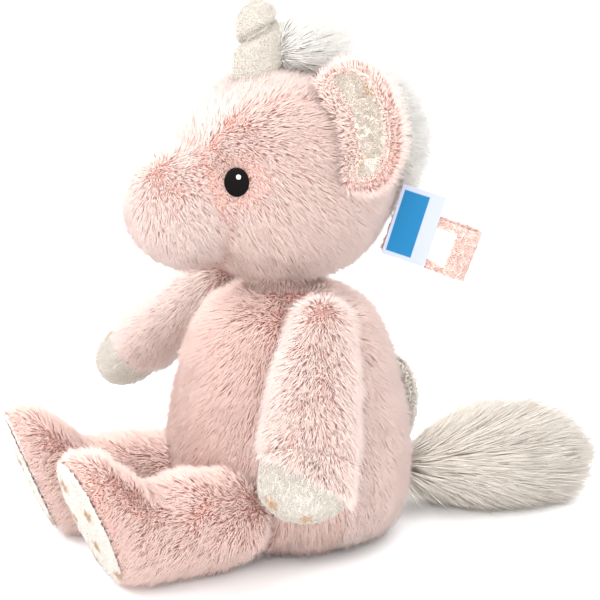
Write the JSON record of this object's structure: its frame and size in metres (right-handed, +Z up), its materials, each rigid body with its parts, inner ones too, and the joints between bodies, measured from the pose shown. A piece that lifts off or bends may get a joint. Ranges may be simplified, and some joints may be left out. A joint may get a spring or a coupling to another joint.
{
  "type": "plush unicorn",
  "caption": "Seated pink plush unicorn with a soft cream horn, white mane and tail, turning head, swinging limbs, and a hanging loop at the nape.",
  "frame": {"origin": "middle of the flat seat, on the surface the toy sits on", "axes": "+Z up, the toy faces -Y, its left side is +X"},
  "size_m": [0.2606, 0.3344, 0.2853],
  "materials": {
    "pink_plush": "matte",
    "deep_pink_plush": "matte",
    "cream_fleece": "matte",
    "white_fur": "matte",
    "wadding": "matte",
    "black_thread": "satin",
    "white_thread": "satin",
    "woven_ribbon": "satin"
  },
  "bodies": {
    "torso": {"torso_front": "deep_pink_plush", "torso_back": "pink_plush", "torso_stuffing": "wadding", "back_pouch": "cream_fleece"},
    "neck": {"neck_stuffing": "wadding"},
    "head": {"head_left": "pink_plush", "head_right": "pink_plush", "head_gusset": "pink_plush", "muzzle_cover": "pink_plush", "head_stuffing": "wadding", "eye_left": "black_thread", "eye_right": "black_thread", "eye_glint_left": "white_thread", "eye_glint_right": "white_thread", "horn_cover": "cream_fleece", "horn_stuffing": "wadding", "horn_thread": "white_thread", "forelock": "white_fur", "mane": "white_fur"},
    "left_ear": {"ear_left_back": "pink_plush", "ear_left_lining": "cream_fleece"},
    "right_ear": {"ear_right_back": "pink_plush", "ear_right_lining": "cream_fleece"},
    "left_arm": {"arm_left_sleeve": "pink_plush", "arm_left_paw": "cream_fleece", "arm_left_stuffing": "wadding"},
    "right_arm": {"arm_right_sleeve": "pink_plush", "arm_right_paw": "cream_fleece", "arm_right_stuffing": "wadding"},
    "left_leg": {"leg_left_cover": "pink_plush", "leg_left_sole": "cream_fleece", "leg_left_stuffing": "wadding"},
    "right_leg": {"leg_right_cover": "pink_plush", "leg_right_sole": "cream_fleece", "leg_right_stuffing": "wadding"},
    "tail": {"tail_fur": "white_fur", "tail_backing": "deep_pink_plush", "tail_stuffing": "wadding"},
    "loop": {"hanging_loop": "deep_pink_plush", "care_label": "woven_ribbon"},
    "label": {"woven_label": "woven_ribbon"}
  },
  "joints": [
    {"name": "neck_turn", "type": "hinge", "parent": "torso", "child": "neck", "pos_m": [0, -0.003, 0.141], "axis": [0, 0, 1], "range_deg": [-35, 35]},
    {"name": "head_nod", "type": "hinge", "parent": "neck", "child": "head", "pos_m": [0, -0.003, 0.141], "axis": [1, 0, 0], "range_deg": [-10, 12]},
    {"name": "left_ear_flop", "type": "hinge", "parent": "head", "child": "left_ear", "pos_m": [0.04743, 0.00089, 0.2189], "axis": [-0.5213, -0.0023, 0.8534], "range_deg": [-22, 8]},
    {"name": "right_ear_flop", "type": "hinge", "parent": "head", "child": "right_ear", "pos_m": [-0.04743, 0.00089, 0.2189], "axis": [-0.5213, 0.0023, -0.8534], "range_deg": [-22, 8]},
    {"name": "left_arm_swing", "type": "hinge", "parent": "torso", "child": "left_arm", "pos_m": [0.06135, -0.01262, 0.1251], "axis": [-1, 0, 0], "range_deg": [-6, 70]},
    {"name": "right_arm_swing", "type": "hinge", "parent": "torso", "child": "right_arm", "pos_m": [-0.06135, -0.01262, 0.1251], "axis": [-1, 0, 0], "range_deg": [-15, 55]},
    {"name": "left_leg_spread", "type": "hinge", "parent": "torso", "child": "left_leg", "pos_m": [0.03591, -0.05545, 0.027], "axis": [0, 0, 1], "range_deg": [-4, 18]},
    {"name": "right_leg_spread", "type": "hinge", "parent": "torso", "child": "right_leg", "pos_m": [-0.03591, -0.05545, 0.027], "axis": [0, 0, -1], "range_deg": [-8, 8]},
    {"name": "tail_swing", "type": "hinge", "parent": "torso", "child": "tail", "pos_m": [0, 0.07154, 0.0252], "axis": [0, 0, 1], "range_deg": [-18, 25]},
    {"name": "loop_swing", "type": "hinge", "parent": "head", "child": "loop", "pos_m": [0.03487, 0.04158, 0.16951], "axis": [0, 0, 1], "range_deg": [-4, 16]},
    {"name": "label_swing", "type": "hinge", "parent": "head", "child": "label", "pos_m": [0.03487, 0.04158, 0.16951], "axis": [0, 0, -1], "range_deg": [0, 22]}
  ]
}
